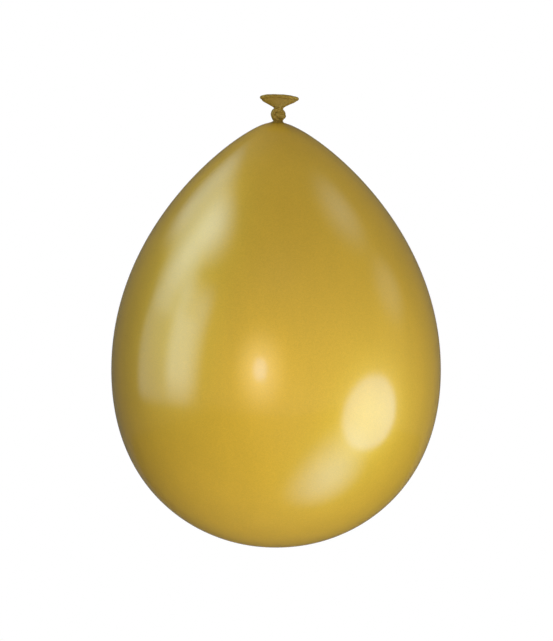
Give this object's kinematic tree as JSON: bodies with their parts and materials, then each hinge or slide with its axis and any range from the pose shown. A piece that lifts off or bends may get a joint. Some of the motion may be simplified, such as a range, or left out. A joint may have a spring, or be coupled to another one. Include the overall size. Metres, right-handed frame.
{
  "type": "latex balloon",
  "caption": "Filled round latex balloon, tied off with an overhand knot, with a flared tail and a rolled lip; the knot and the tail bend and the neck twists.",
  "frame": {"origin": "centre of the neck groove, between the knot and the filled envelope", "axes": "+Z from the envelope towards the knot and the tail, along the balloon's length; +X to the right and -Y towards a viewer in front"},
  "size_m": [0.3, 0.2998, 0.4119],
  "materials": {
    "stretched_latex": "pearl metallic gold, thin and stretched, soft gloss",
    "relaxed_latex": "pearl metallic gold, thick and unstretched, darker and duller, finely wrinkled"
  },
  "bodies": {
    "balloon": {"envelope": "stretched_latex", "crown_tip": "relaxed_latex"},
    "collar": {"neck_collar": "relaxed_latex"},
    "neck": {"neck_stem": "relaxed_latex"},
    "knot": {"overhand_knot": "relaxed_latex"},
    "choke": {"tail_stem": "relaxed_latex"},
    "tail": {"tail_funnel": "relaxed_latex", "rolled_bead": "relaxed_latex"}
  },
  "joints": [
    {"name": "neck_twist", "type": "hinge", "parent": "balloon", "child": "collar", "pos_m": [0, 0, 0], "axis": [0, 0, 1], "range_deg": [-90, 90], "stiffness_Nm_per_rad": 0.0004},
    {"name": "neck_side", "type": "hinge", "parent": "collar", "child": "neck", "pos_m": [0, 0, 0], "axis": [0, 1, 0], "range_deg": [-20, 20], "stiffness_Nm_per_rad": 0.001},
    {"name": "neck_fore", "type": "hinge", "parent": "neck", "child": "knot", "pos_m": [0, 0, 0], "axis": [1, 0, 0], "range_deg": [-20, 20], "stiffness_Nm_per_rad": 0.001},
    {"name": "tail_side", "type": "hinge", "parent": "knot", "child": "choke", "pos_m": [0.0007, 0, 0.013], "axis": [0, 1, 0], "range_deg": [-20, 20], "stiffness_Nm_per_rad": 0.0005},
    {"name": "tail_fore", "type": "hinge", "parent": "choke", "child": "tail", "pos_m": [0.0007, 0, 0.013], "axis": [1, 0, 0], "range_deg": [-25, 25], "stiffness_Nm_per_rad": 0.0005}
  ]
}
